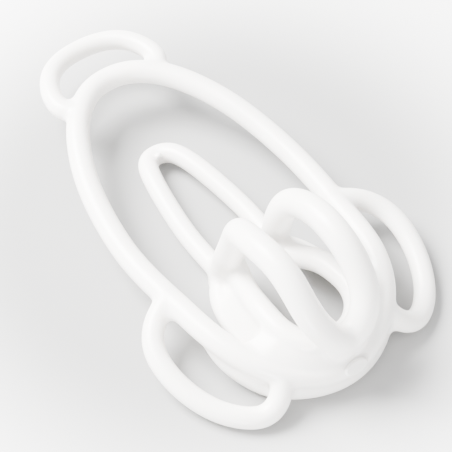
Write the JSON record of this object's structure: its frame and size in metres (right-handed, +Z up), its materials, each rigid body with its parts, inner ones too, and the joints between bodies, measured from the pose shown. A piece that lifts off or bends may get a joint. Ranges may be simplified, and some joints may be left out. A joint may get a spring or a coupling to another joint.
{
  "type": "moulded strap frame",
  "caption": "Smooth plastic frame of round bars: a level oval ring with strap loops at its tail and sides, an inner loop, and a front cage under a pair of tall arches.",
  "frame": {"origin": "middle of the bounding box's bottom face, on the surface that the frame rests on", "axes": "+X from the tail loop to the nose with the badge, +Y to the right-hand strap loop, +Z up"},
  "size_m": [0.1465, 0.0912, 0.0437],
  "materials": {
    "main_ring_plastic": "semi-gloss, as moulded",
    "tail_loop_plastic": "semi-gloss, as moulded",
    "side_loop_plastic": "semi-gloss, as moulded",
    "inner_loop_plastic": "semi-gloss, as moulded",
    "cage_plastic": "semi-gloss, as moulded",
    "nose_plastic": "semi-gloss, as moulded",
    "badge_plastic": "matt, plain raised pad"
  },
  "bodies": {
    "root": {"main_ring": "main_ring_plastic", "tail_strap_loop": "tail_loop_plastic", "strap_loop_left": "side_loop_plastic", "strap_loop_right": "side_loop_plastic", "inner_loop": "inner_loop_plastic", "arch_left": "cage_plastic", "arch_right": "cage_plastic", "cup_rim": "cage_plastic", "side_bar_left": "cage_plastic", "side_bar_right": "cage_plastic", "side_web_left": "cage_plastic", "side_web_right": "cage_plastic", "nose_web_left": "nose_plastic", "nose_web_right": "nose_plastic", "lower_rim": "nose_plastic", "badge": "badge_plastic"}
  },
  "joints": []
}
